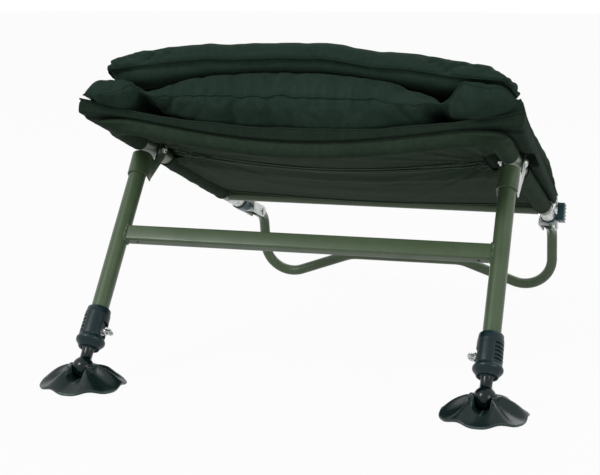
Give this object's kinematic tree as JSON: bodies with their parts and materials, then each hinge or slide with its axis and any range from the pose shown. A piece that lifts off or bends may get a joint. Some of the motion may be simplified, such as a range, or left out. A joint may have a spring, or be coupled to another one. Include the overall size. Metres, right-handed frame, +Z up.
{
  "type": "carp fishing chair",
  "caption": "Folding carp fishing chair with adjustable front legs on mud feet, a hinged rear leg and a cushioned backrest folded down on a sling seat.",
  "frame": {"origin": "on the ground, in the middle of the chair's outline seen from above", "axes": "+X to the right seen from the front, +Y from the front of the seat to its back, +Z up"},
  "size_m": [0.6768, 0.9142, 0.4731],
  "materials": {
    "olive_paint": "satin olive green paint",
    "galvanised_steel": "zinc plated steel",
    "black_plastic": "moulded grey-black plastic",
    "seat_cloth": "coated woven polyester, dark green",
    "mattress_cloth": "brushed microfibre over wadding, dark green"
  },
  "bodies": {
    "seat": {"seat_frame": "olive_paint", "seat_cross_tube": "olive_paint", "seat_sling_front": "seat_cloth", "seat_sling_rear": "seat_cloth", "seat_pad": "seat_cloth", "seat_mattress": "mattress_cloth", "leg_catch": "black_plastic", "ratchet_arm_left": "galvanised_steel", "ratchet_arm_right": "galvanised_steel", "ratchet_pin_left": "galvanised_steel", "ratchet_pin_right": "galvanised_steel", "rail_end_guard_left": "black_plastic", "rail_end_guard_right": "black_plastic", "rear_leg_clevis_left": "galvanised_steel", "rear_leg_clevis_right": "galvanised_steel", "rear_leg_pin_left": "galvanised_steel", "rear_leg_pin_right": "galvanised_steel", "leg_bolt_left": "galvanised_steel", "leg_bolt_right": "galvanised_steel", "leg_nut_left": "galvanised_steel", "leg_nut_right": "galvanised_steel"},
    "front_legs": {"leg_crossbar": "olive_paint", "leg_tube_left": "olive_paint", "leg_tube_right": "olive_paint", "leg_bracket_left": "galvanised_steel", "leg_bracket_right": "galvanised_steel", "adjuster_collar_left": "black_plastic", "adjuster_collar_right": "black_plastic"},
    "rear_leg": {"rear_leg_tube": "olive_paint"},
    "backrest": {"backrest_frame": "olive_paint", "backrest_sling": "seat_cloth", "backrest_cushion": "mattress_cloth", "ratchet_upper_arm_left": "galvanised_steel", "ratchet_upper_arm_right": "galvanised_steel"},
    "leg_extension_left": {"inner_leg_left": "olive_paint"},
    "foot_left": {"mud_foot_left": "black_plastic"},
    "screw_left": {"wing_screw_left": "galvanised_steel"},
    "leg_extension_right": {"inner_leg_right": "olive_paint"},
    "foot_right": {"mud_foot_right": "black_plastic"},
    "screw_right": {"wing_screw_right": "galvanised_steel"}
  },
  "joints": [
    {"name": "front_legs_fold", "type": "hinge", "parent": "seat", "child": "front_legs", "pos_m": [0, -0.13113, 0.30168], "axis": [1, 0, 0], "range_deg": [0, 90]},
    {"name": "rear_leg_fold", "type": "hinge", "parent": "seat", "child": "rear_leg", "pos_m": [0, 0.38251, 0.12865], "axis": [-1, 0, 0], "range_deg": [0, 125]},
    {"name": "backrest_recline", "type": "hinge", "parent": "seat", "child": "backrest", "pos_m": [0, 0.34162, 0.17061], "axis": [-1, 0, 0], "range_deg": [0, 140]},
    {"name": "leg_extension_left_slide", "type": "slide", "parent": "front_legs", "child": "leg_extension_left", "axis": [-0.0209, -0.6354, -0.7719], "range_m": [0, 0.1]},
    {"name": "foot_left_tilt", "type": "hinge", "parent": "leg_extension_left", "child": "foot_left", "pos_m": [-0.28097, -0.39669, 0.0255], "axis": [1, 0, 0], "range_deg": [-12, 12]},
    {"name": "wing_screw_left_turn", "type": "hinge", "parent": "front_legs", "child": "screw_left", "pos_m": [-0.27076, -0.35991, 0.07018], "axis": [0.9998, -0.0133, -0.0162], "continuous": true},
    {"name": "leg_extension_right_slide", "type": "slide", "parent": "front_legs", "child": "leg_extension_right", "axis": [0.0209, -0.6354, -0.7719], "range_m": [0, 0.1]},
    {"name": "foot_right_tilt", "type": "hinge", "parent": "leg_extension_right", "child": "foot_right", "pos_m": [0.28097, -0.39669, 0.0255], "axis": [1, 0, 0], "range_deg": [-12, 12]},
    {"name": "wing_screw_right_turn", "type": "hinge", "parent": "front_legs", "child": "screw_right", "pos_m": [0.27076, -0.35991, 0.07018], "axis": [-0.9998, -0.0133, -0.0162], "continuous": true}
  ]
}
